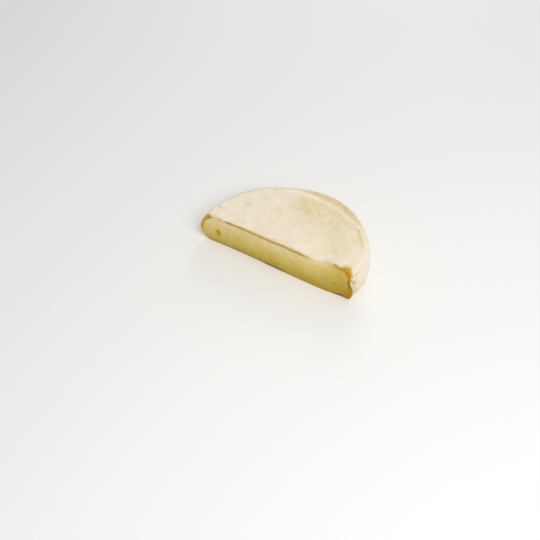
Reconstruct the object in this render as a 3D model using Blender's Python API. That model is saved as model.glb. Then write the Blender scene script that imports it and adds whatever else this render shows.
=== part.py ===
"""Half of a reblochon, a soft washed-rind cheese, as one solid.

The wheel is about 14 cm across and 3 cm high and is cut straight across the middle. The cut face
looks along -Y, the flat underside lies on Z = 0, and the origin is below the middle of the box.
"""

import math

import bmesh
import bpy
from mathutils import Vector

MM = 0.001

# The wheel
RADIUS = 72.0 * MM  # of the round outline, at its widest level
THICKNESS = 29.6 * MM  # at the middle of the cut
LEAN = 0.04  # share by which the right end is thicker and the left end thinner
WIDEST_LEVEL = 0.48  # height of the widest ring, as a share of the thickness

# The hand-made outline: direction and width in degrees from +X, then the swell as a share of RADIUS
OUTLINE_SWELLS = (
    (0, 13, -0.083),
    (75, 20, 0.045),
    (118, 16, -0.029),
    (145, 14, -0.018),
    (172, 12, 0.017),
)

# The rounded edge above the widest ring, from the crease where the flat top ends. It changes
# between directions that are given in degrees from +X.
SHOULDER_RIGHT = 4.6 * MM
SHOULDER_SIDES = 6.2 * MM
SHOULDER_LEFT = 8.8 * MM
RIGHT_TO_SIDES = (2, 30)
SIDES_TO_LEFT = (60, 120)
SHOULDER_REAR_EXTRA = 7.0 * MM
REAR_MIDDLE, REAR_WIDTH = 78, 24
SHOULDER_POWER = 2.3  # 2 is an ellipse, more is squarer
SHOULDER_POWER_LEFT = 1.3  # nearly a straight slope
POWER_CHANGE = (140, 172)

# The rounded edge below the widest ring
FOOT_RIGHT = 5.6 * MM
FOOT_LEFT = 12.0 * MM
FOOT_POWER = 2.2
FOOT_CHANGE = (20, 80)

# Relief of the top
RELIEF_POWER = 4  # how quickly it fades downwards
RIDGE_STARTS, RIDGE_ENDS = (22, 50), (100, 128)  # degrees from +X
RIDGE_HEIGHT = 0.7 * MM  # the raised crease round the rear right
RIDGE_WIDTH = 2.0 * MM
TROUGH_DEPTH = 0.5 * MM  # the shallow dip just inside it
TROUGH_PLACE = 6.0 * MM
TROUGH_WIDTH = 3.5 * MM
STEP_HEIGHT = 2.0 * MM  # the top stands higher at the right end of the cut
STEP_FROM, STEP_TO = 36.0 * MM, 54.0 * MM
STEP_FADE = (4.0 * MM, 40.0 * MM)  # how far back from the cut it reaches
SAG_DEPTH = 0.9 * MM  # the rind pressed down by the knife, left of the step
SAG_PLACE, SAG_WIDTH = 26.0 * MM, 11.0 * MM
WAVE_HEIGHT = 0.35 * MM  # slow unevenness all over the top
WAVE_LENGTH_X, WAVE_LENGTH_Y = 17.0 * MM, 14.0 * MM  # for one radian
WAVE_SHIFT_X, WAVE_SHIFT_Y = 0.6, -0.4

# Relief of the cut face
BULGE = 0.9 * MM  # soft paste pushing out at mid-height
BULGE_FADE = 9.0 * MM

# Dents of the cut's edges, in millimetres: middle, half size and push
DENTS = (
    ((41.0, 0.0, 29.6), (8.0, 3.2, 3.2), (0.0, 1.7, -1.2)),  # rind edge rubbed round
    ((62.0, 0.0, 29.0), (4.5, 4.5, 6.5), (-1.5, 0.6, -1.2)),  # rind torn off the corner
    ((67.0, 0.0, 20.5), (5.0, 2.6, 5.5), (-3.0, 0.3, 0.0)),  # wall curled in at the right end
    ((57.0, 0.0, 0.0), (11.0, 4.0, 5.0), (0.0, 1.6, 0.0)),  # foot worn back at the right
    ((-34.0, 0.0, 0.0), (36.0, 4.0, 5.0), (0.0, 1.2, 0.0)),  # and at the left
)

# Round holes of the paste: place along the cut, height, half width, half height, depth
EYES = (
    (-55.1 * MM, 12.9 * MM, 2.1 * MM, 3.0 * MM, 2.2 * MM),
    (-44.5 * MM, 22.4 * MM, 1.0 * MM, 1.1 * MM, 1.0 * MM),
    (50.0 * MM, 12.3 * MM, 1.3 * MM, 1.2 * MM, 1.1 * MM),
    (-23.2 * MM, 9.0 * MM, 0.9 * MM, 0.9 * MM, 0.9 * MM),
    (16.3 * MM, 24.5 * MM, 1.0 * MM, 0.8 * MM, 0.8 * MM),
)

# Finishes
RIND_COLOUR = (0.80, 0.68, 0.47)
RIND_ROUGHNESS = 0.75
PASTE_COLOUR = (0.60, 0.42, 0.12)
PASTE_ROUGHNESS = 0.45
SHARP_ANGLE = 50  # degrees

# Mesh density
SIDE_ARC = 38  # degrees of outline at each end that face the ends of the cut
COLUMNS = 72  # along the cut
ROWS = 24  # from the cut to the rear
LEVELS = 14  # from the top to the base
MERGE_DISTANCE = 0.001 * MM
FRONT_REACH = 3 * MM  # how far back a face of the cut may lie
FRONT_FACING = 0.7  # and how squarely it looks to the front, 1 at most


def hill(value, centre, width):
    """A bell of height 1 at the centre."""
    return math.exp(-(((value - centre) / width) ** 2))


def ramp(value, start, end):
    """0 before start, 1 after end, and a smooth step between."""
    share = min(max((value - start) / (end - start), 0.0), 1.0)
    return share * share * (3 - 2 * share)


def mix(a, b, share):
    return a + (b - a) * share


def outline_radius(degrees):
    swell = sum(amount * hill(degrees, at, width) for at, width, amount in OUTLINE_SWELLS)
    return RADIUS * (1 + swell)


def shoulder_inset(degrees):
    """How far inside the outline the flat top ends."""
    inset = mix(SHOULDER_RIGHT, SHOULDER_SIDES, ramp(degrees, *RIGHT_TO_SIDES))
    inset = mix(inset, SHOULDER_LEFT, ramp(degrees, *SIDES_TO_LEFT))
    return inset + SHOULDER_REAR_EXTRA * hill(degrees, REAR_MIDDLE, REAR_WIDTH)


def wall_point(degrees, level):
    """Point of the rounded wall: level 0 is the crease at the top, 1 the edge of the base."""
    turn = abs(1 - 2 * level) * math.pi / 2
    above = level < 0.5
    if above:
        inset = shoulder_inset(degrees)
        power = mix(SHOULDER_POWER, SHOULDER_POWER_LEFT, ramp(degrees, *POWER_CHANGE))
    else:
        inset = mix(FOOT_RIGHT, FOOT_LEFT, ramp(degrees, *FOOT_CHANGE))
        power = FOOT_POWER
    outward = max(math.cos(turn), 0.0) ** (2 / power)
    upward = math.sin(turn) ** (2 / power)
    radius = outline_radius(degrees) - inset * (1 - outward)
    share = WIDEST_LEVEL + (1 - WIDEST_LEVEL) * upward if above else WIDEST_LEVEL * (1 - upward)
    angle = math.radians(degrees)
    return Vector((radius * math.cos(angle), radius * math.sin(angle), THICKNESS * share))


def patch(bottom, top, left, right, v_shares):
    """Fills four border rows of points: the two ways to span them, less the share of the corners."""
    rows = []
    for j, v in enumerate(v_shares):
        row = []
        for i in range(len(bottom)):
            u = i / (len(bottom) - 1)
            across = left[j].lerp(right[j], u)
            upward = bottom[i].lerp(top[i], v)
            corners = bottom[0].lerp(bottom[-1], u).lerp(top[0].lerp(top[-1], u), v)
            row.append(across + upward - corners)
        rows.append(row)
    return rows


def chord(start, end):
    return [start.lerp(end, i / COLUMNS) for i in range(COLUMNS + 1)]


def add_sheet(bm, rows):
    """A sheet of quads between rows of points."""
    verts = [[bm.verts.new(point) for point in row] for row in rows]
    for lower, upper in zip(verts, verts[1:]):
        for corner in zip(lower, lower[1:], upper[1:], upper):
            bm.faces.new(corner)


def top_relief(x, y):
    """Height added to the top at a place in plan."""
    degrees = math.degrees(math.atan2(y, x))
    inside = outline_radius(degrees) - shoulder_inset(degrees) - math.hypot(x, y)
    along = ramp(degrees, *RIDGE_STARTS) * (1 - ramp(degrees, *RIDGE_ENDS))
    rim = RIDGE_HEIGHT * hill(inside, 0, RIDGE_WIDTH)
    rim -= TROUGH_DEPTH * hill(inside, TROUGH_PLACE, TROUGH_WIDTH)
    fade = 1 - ramp(y, *STEP_FADE)
    step = STEP_HEIGHT * ramp(x, STEP_FROM, STEP_TO) * fade
    sag = SAG_DEPTH * hill(x, SAG_PLACE, SAG_WIDTH) * fade
    wave = math.sin(x / WAVE_LENGTH_X + WAVE_SHIFT_X) * math.cos(y / WAVE_LENGTH_Y + WAVE_SHIFT_Y)
    return along * rim + step - sag + WAVE_HEIGHT * wave


def bulge(x, z):
    """How far the paste of the cut face stands out in front of its edges."""
    return BULGE * math.sin(math.pi * z / THICKNESS) * (1 - (x / RADIUS) ** 2)


def shape_point(point):
    """Moves a point of the plain half wheel to its place in the uneven one. The base stays flat."""
    x, y, z = point
    share = z / THICKNESS
    height = z * (1 + LEAN * x / RADIUS) + top_relief(x, y) * share**RELIEF_POWER
    front = bulge(x, z) * math.exp(-y / BULGE_FADE)
    moved = Vector((x, y - front, height))
    for middle, reach, push in DENTS:
        spread = [(point[i] - middle[i] * MM) / (reach[i] * MM) for i in range(3)]
        moved += Vector(push) * MM * math.exp(-Vector(spread).length_squared)
    return moved


def half_wheel():
    """The closed surface: top, wall, cut face and base."""
    bm = bmesh.new()
    right_arc = [SIDE_ARC * j / ROWS for j in range(ROWS + 1)]
    rear_arc = [mix(180 - SIDE_ARC, SIDE_ARC, i / COLUMNS) for i in range(COLUMNS + 1)]
    left_arc = [180 - degrees for degrees in right_arc]
    round_the_wall = right_arc + rear_arc[-2:0:-1] + left_arc[::-1]
    levels = [k / LEVELS for k in range(LEVELS + 1)]

    def ring(angles, level):
        return [wall_point(degrees, level) for degrees in angles]

    top_left, top_right = wall_point(180, 0), wall_point(0, 0)
    base_left, base_right = wall_point(180, 1), wall_point(0, 1)
    top_edge = chord(top_left, top_right)
    rows = [j / ROWS for j in range(ROWS + 1)]
    sheets = [
        patch(top_edge, ring(rear_arc, 0), ring(left_arc, 0), ring(right_arc, 0), rows),
        [ring(round_the_wall, level) for level in levels],
    ]
    left_end = [wall_point(180, level) for level in levels]
    right_end = [wall_point(0, level) for level in levels]
    depths = [1 - point.z / THICKNESS for point in right_end]
    sheets.append(patch(top_edge, chord(base_left, base_right), left_end, right_end, depths))
    for sheet in sheets:
        add_sheet(bm, [[shape_point(point) for point in row] for row in sheet])

    bmesh.ops.remove_doubles(bm, verts=bm.verts, dist=MERGE_DISTANCE)
    base_outline = [edge for edge in bm.edges if edge.is_boundary]
    bmesh.ops.holes_fill(bm, edges=base_outline, sides=0)
    bmesh.ops.recalc_face_normals(bm, faces=bm.faces)
    return bm


def bore_eyes(obj):
    """Hollows out the round holes, each by a stretched ball centred just in front of the cut face."""
    bm = bmesh.new()
    for x, z, half_width, half_height, depth in EYES:
        ball = bmesh.ops.create_icosphere(bm, subdivisions=2, radius=1)["verts"]
        bmesh.ops.scale(bm, vec=(half_width, depth, half_height), verts=ball)
        bmesh.ops.translate(bm, vec=(x, -bulge(x, z), z), verts=ball)
    mesh = bpy.data.meshes.new("eye_cutters")
    bm.to_mesh(mesh)
    bm.free()
    cutters = bpy.data.objects.new("eye_cutters", mesh)
    bpy.context.scene.collection.objects.link(cutters)
    cutters.hide_render = True
    cutters.display_type = "WIRE"
    cut = obj.modifiers.new("Eyes", "BOOLEAN")
    cut.operation = "DIFFERENCE"
    cut.object = cutters
    return cutters


def finish(name, colour, roughness):
    material = bpy.data.materials.new(name)
    material.use_nodes = True
    shader = material.node_tree.nodes["Principled BSDF"]
    shader.inputs["Base Color"].default_value = (*colour, 1)
    shader.inputs["Roughness"].default_value = roughness
    shader.inputs["Metallic"].default_value = 0
    return material


def build():
    for obj in list(bpy.data.objects):
        bpy.data.objects.remove(obj, do_unlink=True)

    bm = half_wheel()
    xs = [vert.co.x for vert in bm.verts]
    ys = [vert.co.y for vert in bm.verts]
    middle = Vector(((min(xs) + max(xs)) / 2, (min(ys) + max(ys)) / 2, 0))
    mesh = bpy.data.meshes.new("reblochon")
    cut_normal = Vector((0, -1, 0))
    for face in bm.faces:
        face.smooth = True
        middle_y = face.calc_center_median().y
        front = face.normal.dot(cut_normal) > FRONT_FACING and middle_y < FRONT_REACH
        face.material_index = 1 if front else 0
    bm.to_mesh(mesh)
    bm.free()
    mesh.materials.append(finish("rind", RIND_COLOUR, RIND_ROUGHNESS))
    mesh.materials.append(finish("paste", PASTE_COLOUR, PASTE_ROUGHNESS))
    mesh.set_sharp_from_angle(angle=math.radians(SHARP_ANGLE))

    cheese = bpy.data.objects.new("reblochon", mesh)
    bpy.context.scene.collection.objects.link(cheese)
    cutters = bore_eyes(cheese)
    for obj in (cheese, cutters):
        obj.location = -middle


build()
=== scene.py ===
"""Dresses half of a small washed-rind cheese and sets it on a plain stage.

The rind carries the print of the cheese cloth, the cut face shows the yellow paste, and a thin ochre
layer lies between them. All lengths in the surface functions are millimetres, measured from the
middle of the cut: X along the cut, Y to the rear, Z up. The mesh becomes metres at the end.
"""

import math

import bpy
import numpy as np
from bpy.props import FloatProperty, FloatVectorProperty, IntProperty, PointerProperty
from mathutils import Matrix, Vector


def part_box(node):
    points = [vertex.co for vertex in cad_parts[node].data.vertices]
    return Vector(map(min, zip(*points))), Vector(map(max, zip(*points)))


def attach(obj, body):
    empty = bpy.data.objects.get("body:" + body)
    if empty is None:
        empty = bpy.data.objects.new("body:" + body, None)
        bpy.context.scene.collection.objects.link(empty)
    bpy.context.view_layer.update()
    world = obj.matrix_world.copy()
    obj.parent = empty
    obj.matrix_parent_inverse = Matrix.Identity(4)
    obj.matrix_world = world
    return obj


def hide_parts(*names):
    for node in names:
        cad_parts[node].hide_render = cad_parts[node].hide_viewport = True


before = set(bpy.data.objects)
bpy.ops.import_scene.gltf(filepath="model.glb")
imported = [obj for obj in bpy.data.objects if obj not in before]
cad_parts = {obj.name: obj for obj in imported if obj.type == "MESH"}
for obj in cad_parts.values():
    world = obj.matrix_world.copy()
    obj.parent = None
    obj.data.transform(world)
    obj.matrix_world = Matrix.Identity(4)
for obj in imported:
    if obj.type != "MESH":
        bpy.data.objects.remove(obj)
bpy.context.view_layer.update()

bl_info = {
    "name": "Half Washed-Rind Cheese",
    "version": (1, 0, 0),
    "blender": (4, 5, 0),
    "location": "View3D > Sidebar > Cheese",
    "description": "Builds the cloth-printed rind and the yellow paste of half a soft cheese",
    "category": "Object",
}

MM = 0.001
NODE = "reblochon"
BODY = "root"
PIECE = "half_cheese"
SHEET_SLOTS = {"top": 0, "wall": 0, "base": 0, "cut": 1}  # 0 is the rind, 1 the paste

# The wheel, as the solid has it
RADIUS = 72.0
THICKNESS = 29.6
LEAN = 0.04  # share by which the right end is thicker and the left end thinner
WIDEST_LEVEL = 0.48  # height of the widest ring, as a share of the thickness

# Random grain: waves in one grain, their lengths as shares of its size, and its height
GRAIN_WAVES, GRAIN_LENGTHS, GRAIN_HEIGHT = 16, (0.7, 1.5), 0.6

# Direction and width in degrees from +X, then the swell as a share of the radius
OUTLINE_SWELLS = (
    (0, 13, -0.083),
    (75, 20, 0.045),
    (118, 16, -0.029),
    (145, 14, -0.018),
    (172, 12, 0.017),
)

# The rounded edge above the widest ring, then the one below it. They change between directions
# that are given in degrees from +X.
SHOULDER_RIGHT, SHOULDER_SIDES, SHOULDER_LEFT = 4.6, 6.2, 8.8
RIGHT_TO_SIDES, SIDES_TO_LEFT = (2, 30), (60, 120)
SHOULDER_REAR_EXTRA, REAR_MIDDLE, REAR_WIDTH = 7.0, 78, 24
SHOULDER_POWER, SHOULDER_POWER_LEFT = 2.3, 1.3
POWER_CHANGE = (140, 172)
FOOT_RIGHT, FOOT_LEFT, FOOT_CHANGE = 5.6, 12.0, (20, 80)
FOOT_POWER = 2.2

# Relief of the top
RELIEF_POWER = 4  # how quickly it fades downwards
RIDGE_STARTS, RIDGE_ENDS = (22, 50), (100, 128)  # degrees
RIDGE_HEIGHT, RIDGE_WIDTH = 0.7, 2.0
TROUGH_DEPTH, TROUGH_PLACE, TROUGH_WIDTH = 0.5, 6.0, 3.5
STEP_HEIGHT, STEP_PLACE, STEP_FADE = 2.0, (36.0, 54.0), (4.0, 40.0)
SAG_DEPTH, SAG_PLACE, SAG_WIDTH = 0.9, 26.0, 11.0
WAVE_HEIGHT, WAVE_LENGTHS, WAVE_SHIFTS = 0.35, (17.0, 14.0), (0.6, -0.4)

# Relief of the cut face, and dents of its edges: middle, half size and push
BULGE, BULGE_FADE = 0.9, 9.0
DENTS = (
    ((41.0, 0.0, 29.6), (8.0, 3.2, 3.2), (0.0, 1.7, -1.2)),  # rind edge rubbed round
    ((62.0, 0.0, 29.0), (4.5, 4.5, 6.5), (-1.5, 0.6, -1.2)),  # rind torn off the corner
    ((67.0, 0.0, 20.5), (5.0, 2.6, 5.5), (-3.0, 0.3, 0.0)),  # wall curled in at the right end
    ((57.0, 0.0, 0.0), (11.0, 4.0, 5.0), (0.0, 1.6, 0.0)),  # foot worn back at the right
    ((-34.0, 0.0, 0.0), (36.0, 4.0, 5.0), (0.0, 1.2, 0.0)),  # and at the left
)

# Mesh density
SIDE_ARC = 38.0  # degrees of outline at each end that face the ends of the cut
BASE_RINGS = (0.05, 0.45)  # shares of the way from the base's edge to its middle
BASE_MIDDLE = (-2.0, 27.0, 0.0)
BASE_FADE = (0.0, 1.2)  # height over which the relief comes in, so that the base stays flat

# Finishes worked out for every point, each from 0 to 1
# tan and brown also carry painted shade, pale painted highlight and light, and smear a painted highlight
MARKS = ("tan", "ochre", "amber", "brown", "pale", "skin", "smear", "deep")
TOP_EDGE = (0.05, 0.4)  # how far below the flat top the wall comes in

# In the groups below, a pair is where a change starts and ends, or the middle and half width of a
# bell. Four numbers are a change's start and end, then the levels before and after it. A stretch is
# two changes, where it comes in and where it goes out. Round the outline they are in degrees from +X.

# The print of the cloth, about 1 strong on the flat top
RIB_FAN = 0.0042  # how the ribs turn, in radians for each millimetre to the rear
RIB_DRIFT, STITCH_DRIFT = 0.16, 0.25  # in ribs and in stitches
GROOVE_POWER = 1.5
PRINT_LEVEL, PRINT_PATCHES, PRINT_MOST = 0.85, 0.2, 1.4
PRINT_FACING_UP = (0.0, 0.5, 0.12, 1.0)  # by the upward part of the surface's direction
PRINT_FACING_SIDE = (0.4, 0.8, 1.0, 0.0)  # by its part along the cut
PRINT_LEFT = (-66.0, -52.0, 0.6, 1.0)
PRINT_RIGHT = (50.0, 59.0, 1.0, 0.25)
PRINT_BY_CUT = (0.3, 2.5, 0.4, 1.0)
PRINT_SHOULDER = (0.0, 2.0)  # beyond the crease
PRINT_SHOULDER_STARTS = (40, 55)
PRINT_SHOULDER_EXTRA = 0.5

# Lines on the rind: points in plan, half width, depth (raised where below 0), tan, brown
RIND_LINES = (
    (((0.9, 54.1), (9.0, 47.5), (13.5, 44.0)), 0.7, 0.10, 0.30, 0.04),
    (((-7.9, 52.9), (-2.0, 46.0), (4.9, 39.9)), 2.2, 0.05, 0.22, 0.0),
    (((28.2, 25.7), (35.5, 32.0), (45.4, 36.2)), 1.3, -0.25, 0.0, 0.0),
    (((32.2, 24.3), (37.1, 21.0), (41.0, 15.0)), 1.0, 0.12, 0.22, 0.02),
    (((34.8, 18.0), (45.6, 12.0)), 1.0, 0.1, 0.2, 0.0),
    (((46.3, 43.8), (51.1, 38.3), (55.4, 32.4), (56.8, 29.5)), 1.2, 0.2, 0.45, 0.0),
)
CREASE_PATH = (
    (-26.6, 56.8), (-15.4, 58.8), (-6.0, 59.0), (4.8, 58.3), (12.8, 57.8),
    (25.3, 54.9), (35.6, 50.8), (42.7, 47.2), (46.4, 45.4),
)
CREASE_WIDTH, CREASE_HEIGHT = 1.0, 0.26
CREASE_FADE = (1.0, 3.0)  # below the top

# Cracks of the wall: directions in degrees and levels
CRACKS = (
    ((4.5, 0.27), (6.0, 0.26), (8.5, 0.235), (11.0, 0.18), (14.5, 0.12)),
    ((0.9, 0.365), (2.4, 0.41)),
)
CRACK_WIDTH, CRACK_DEPTH = 0.45, 0.18

# Warm zones of the rind, or cool ones where below 0: place in plan, half size along X and Y, strength
TAN_ZONES = (
    (20.0, 34.0, 46.0, 30.0, 0.10),
    (22.0, 42.0, 26.0, 16.0, 0.30),
    (44.0, 22.0, 12.0, 20.0, 0.20),
    (0.0, 47.0, 16.0, 8.0, 0.24),
    (-7.8, 41.4, 2.6, 2.0, 0.34),
    (-1.0, 46.0, 2.0, 4.6, 0.10),
    (1.0, 42.0, 1.8, 1.8, 0.06),
    (28.2, 30.9, 4.0, 3.0, 0.08),
    (35.0, 41.0, 3.0, 1.8, 0.10),
    (57.0, 36.0, 3.0, 5.0, 0.15),
    (60.0, 11.0, 4.0, 5.0, 0.20),
    (-60.0, 1.0, 7.0, 3.0, 0.35),
    (3.6, 27.9, 4.0, 4.0, -0.10),
    (22.0, 26.0, 5.0, 3.0, -0.14),
    (26.1, 40.8, 4.0, 4.0, -0.12),
    (40.2, 39.6, 4.0, 3.0, -0.14),
    (4.5, 8.4, 4.0, 3.5, -0.12),
    (-21.6, 17.1, 6.0, 5.0, -0.10),
    (-43.8, 26.4, 5.0, 4.0, -0.12),
    (45.0, 17.1, 5.0, 5.0, -0.10),
    (45.0, 38.5, 5.0, 4.0, -0.12),
    (47.0, 30.0, 9.0, 12.0, -0.10),
)

# Brown spots on the rind: place in plan, size, strength
SPOTS = (
    (-61.3, 12.4, 1.4, 0.38),
    (-42.9, 25.8, 1.5, 0.25),
    (-50.6, 19.0, 0.9, 0.18),
    (-49.3, 10.8, 0.9, 0.28),
    (-45.2, 10.9, 0.8, 0.25),
    (-55.3, 11.1, 0.8, 0.18),
    (-41.1, 33.2, 1.0, 0.12),
    (-34.9, 6.6, 1.0, 0.28),
    (-28.1, 25.8, 0.9, 0.15),
    (-52.7, 0.8, 0.9, 0.45),
    (-4.8, 40.6, 0.8, 0.20),
    (2.5, 41.0, 0.7, 0.20),
    (30.0, 42.0, 0.8, 0.18),
    (8.0, 33.0, 0.7, 0.15),
)
SPOT_DEPTH = 0.12

# Brown marks of the wall near the right end: place, size, strength
WALL_MARKS = (
    ((65.2, 4.8, 25.6), 0.8, 0.50),
    ((65.2, 2.8, 24.6), 0.8, 0.45),
    ((65.7, 0.9, 20.7), 0.9, 0.55),
    ((66.1, 3.2, 18.8), 1.3, 0.30),
    ((66.1, 5.6, 20.0), 1.2, 0.18),
)

# Tan shoulder behind the crease, and painted shade in the trough inside it
TAN_SHOULDER = ((38, 52), (92, 106))
TAN_SHOULDER_EDGE = (-0.6, 0.9)  # beyond the crease
TAN_SHOULDER_LEVELS = (14.0, 22.0)
TROUGH_SHADE = ((40, 55), (98, 112))
TROUGH_SHADE_PLACE = (-5.0, 4.0)  # a bell, beyond the crease

# Painted light: a pale rim on the upper wall at the right
LIT_RIM = ((8, 16), (44, 56))
LIT_RIM_EDGE = (0.5, 3.0)  # beyond the crease
LIT_RIM_LEVELS = (4.0, 12.0)

# Tan of the wall, partly painted shade: low down, apart from a paler stretch, and beside the cut
WALL_TAN_AND_SHADE_LEVELS = (5.0, 19.0)
PALER_WALL = (45, 18)  # a bell
TAN_AND_SHADE_BY_CUT = (0.5, 8.0)
TAN_AND_SHADE_BY_CUT_LEVELS = (19.0, 24.0)

# Unevenness of the rind, and how far rind and paste lie below the plain form
LUMP_HEIGHT, FINE_LUMP_HEIGHT = 0.10, 0.035
WRINKLE_HEIGHT = 0.16
WRINKLE_SIZE = (5.0, 5.0, 60.0)
WRINKLE_FACING = (0.35, 0.8)  # by the upward part of the surface's direction
RIND_LEVEL, PASTE_LEVEL = 0.1, 0.05

# Round holes of the paste: place along the cut, height, half width, half height, depth
EYES = (
    (-55.2, 13.1, 2.8, 3.9, 0.9),
    (-44.5, 22.4, 1.3, 1.2, 0.4),
    (50.0, 12.3, 1.4, 1.5, 0.6),
    (-23.2, 9.0, 0.9, 0.9, 0.35),
    (16.3, 24.5, 1.1, 0.8, 0.3),
)

# Pores of the paste: place along the cut, height, size
PORES = (
    (-46.8, 15.4, 0.9),
    (-39.9, 18.2, 0.7),
    (-36.9, 17.4, 0.7),
    (-29.0, 23.8, 0.8),
    (-28.5, 20.2, 0.7),
    (-22.8, 25.8, 0.8),
    (39.4, 12.2, 0.8),
    (42.2, 2.8, 0.9),
)
PORE_DEPTH = 0.4  # as a share of its size

# Pores in random places: how many, then the least and the most place, height and size
DOT_COUNT = 14
DOTS_LEAST, DOTS_MOST = (-62, 4, 0.5), (60, 26, 0.9)

# Where the yellow and the painted shade of a hole fade out, as shares of its reach, and the depth past
# which it is large
HOLE_YELLOW, HOLE_SHADE, LARGE_HOLE_SHADE = (0.7, 1.15), (0.6, 1.0), (0.7, 1.1)
LARGE_HOLE = 0.5

# Marks of the knife, and the finest pits
KNIFE_MARK_DEPTH = 0.05
KNIFE_MARK_SIZE = (70.0, 70.0, 3.5)
PIT_DEPTH = 0.03

# How far below the edge the ochre line runs, or behind it where below 0: places along the cut, then
# distances
SEAM_PLACE = (
    (-50.0, -38.0, -25.0, -10.0, 5.0, 30.0, 45.0, 48.6, 50.7, 53.5, 56.0),
    (0.1, -0.4, -0.5, 0.2, 0.6, 0.5, -1.1, -1.2, -0.6, 0.2, 0.5),
)

# Strength of the ochre line along the cut: start, end and rise of each smooth step
SEAM_STEPS = (
    (-61.0, -58.0, 0.35),
    (-51.0, -46.0, 0.65),
    (19.0, 25.0, -0.35),
    (25.0, 31.0, -0.65),
    (45.5, 49.0, 0.90),
)
SEAM_WIDTH, SEAM_SWELL, SEAM_SWAY = 1.15, 0.25, 0.3
SEAM_LOWER_SIDE = 1.1  # how much wider the line is on its lower side
SEAM_CORE = 0.6  # half width of its browner middle
SEAM_DEPTH = 0.14
SEAM_GROOVE_STARTS = (0.02, 0.5)  # below the edge
SEAM_RIM = (0.3, 3.0)  # tan of the rind behind the line
RUBBED_FROM = (43.0, 47.0)  # where paste shows in front of the line

# Brown notches of the line: place along the cut, distance below the edge, size, strength
SEAM_NOTCHES = ((21.7, 1.2, 0.9, 0.50), (-52.6, 0.5, 0.8, 0.35))

# Left end of the cut: skin, an ochre strip, and a corner that is ochre above a slanting line
LEFT_SKIN = (0.5, 1.0)  # from the end
SKIN_TO_OCHRE = (0.2, 0.7)
LEFT_STRIP = ((0.6, 1.1), (2.2, 4.4))
LEFT_STRIP_LEVELS = (4.0, 13.0)
LEFT_LINE_SLOPE, LEFT_LINE_HEIGHT = 0.875, 81.1  # the height where X is 0
LEFT_LINE_EDGE = (-0.9, 0.6)
LEFT_TIP = ((-63.0, -60.5), (0.9, 2.2), (24.0, 27.0))  # ochre tip of the rind, along X, Y and Z

# Right end of the cut: heights, then where the ochre starts at each
RIGHT_GOLD_EDGE = ((0.0, 2.2, 4.6, 9.0, 13.6, 15.5), (49.0, 54.0, 57.5, 61.0, 63.2, 66.5))
RIGHT_GOLD_SOFTNESS = 5.0
RIGHT_GOLD_TOP = (13.8, 15.2)
RIGHT_GOLD_FOOT = (3.0, 9.0)  # browner below
RIGHT_SKIN = (0.1, 0.4)  # from the end
RIGHT_SKIN_LEVELS = (14.0, 16.0)

# Darker, sunk patch above that ochre
DARK_FROM = (61.2, 62.8)
DARK_LEVELS = ((12.5, 14.5), (21.5, 26.0))
DARK_DEPTH = 0.15

# Rind torn off the right top corner. A border's reach is the distance past it that counts as 1.
# Its edge on the cut: heights, then the place at each.
TORN_EDGE = ((19.5, 21.4, 25.0, 28.6, 29.6), (63.2, 61.9, 59.9, 57.3, 54.8))
TORN_EDGE_REACH = 2.5
TORN_LOWEST = (20.0, 6.0)  # border and reach

# Its oval on the top: middle, then reach to the left, to the right and to the rear
TORN_MIDDLE = 58.5
TORN_OVAL = (4.8, 4.3, 5.5)
TORN_OVAL_LOWEST = (27.0, 4.0)  # border and reach

# Its strip on the wall, beside the cut: width at a level, and how much wider for each millimetre up
TORN_STRIP_WIDTH, TORN_STRIP_LEVEL, TORN_STRIP_LEAN = 0.9, 21.0, 0.27
TORN_STRIP_REACH = 3.0
TORN_STRIP_FROM = (59.0, 4.0)  # border and reach

# Its finish: even near the cut and speckled behind, brighter to the right, with a tan rim above
TORN_EVEN = (0.3, 2.4)
TORN_BRIGHTER = (56.5, 61.0, 0.35, 1.0)
TORN_RIM_LEVELS = (22.0, 25.0)
TORN_DEPTH, TORN_LIP = 0.40, 0.10

# Paste rubbed over the edge, as bells along the cut, and how each fades over the rind or downwards
SMEAR = (41.5, 8.0)
SMEAR_BACK = 5.0
SMEAR_DOWN = (2.0, 4.0)
ROUNDED_EDGE = (39.0, 7.0)
ROUNDED_REACH, ROUNDED_DEPTH = 1.3, 0.6
PALE_EDGE = (38.0, 10.0)
PALE_EDGE_DOWN = (0.5, 8.0)
THICK_SKIN = (35.0, 6.0)
THICK_SKIN_DOWN = (0.5, 3.5)
# A pale patch on the cut below the edge: partly smeared paste, partly a painted highlight
SMEAR_AND_HIGHLIGHT = (4.5, 3.5)
SMEAR_AND_HIGHLIGHT_DOWN = (7.2, 3.0)  # a bell

# Foot of the cut: heights over which the ochre line and a band of painted shade end, and a dark stretch
# and spot
FOOT_LINE = (0.3, 1.6)
FOOT_PAINTED_SHADE = (1.0, 3.5)
FOOT_STRETCH = ((-16.0, -9.0), (3.0, 7.0))
FOOT_STRETCH_HEIGHT = (1.4, 4.2)
FOOT_SPOT = (53.0, 2.6)  # a bell
FOOT_SPOT_HEIGHT = (1.0, 2.4)


def hill(value, centre, width):
    """A bell of height 1 at the centre."""
    return np.exp(-(((value - centre) / width) ** 2))


def mix(a, b, share):
    """From a to b, in a straight line."""
    return a + (b - a) * share


def ramp(value, start, end, before=0.0, after=1.0):
    """One level before start, another after end, and a smooth step between."""
    share = np.clip((value - start) / (end - start), 0, 1)
    return mix(before, after, share * share * (3 - 2 * share))


def fall(value, start, end):
    """1 before start, 0 after end, and a smooth step between."""
    return ramp(value, start, end, 1, 0)


def past(value, border, reach):
    """A signed distance: 0 at the border and 1 at its reach past it."""
    return (value - border) / reach


def band(value, rise, drop):
    """0 outside a stretch and 1 inside it, with a smooth step at both ends."""
    return ramp(value, *rise) * fall(value, *drop)


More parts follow.
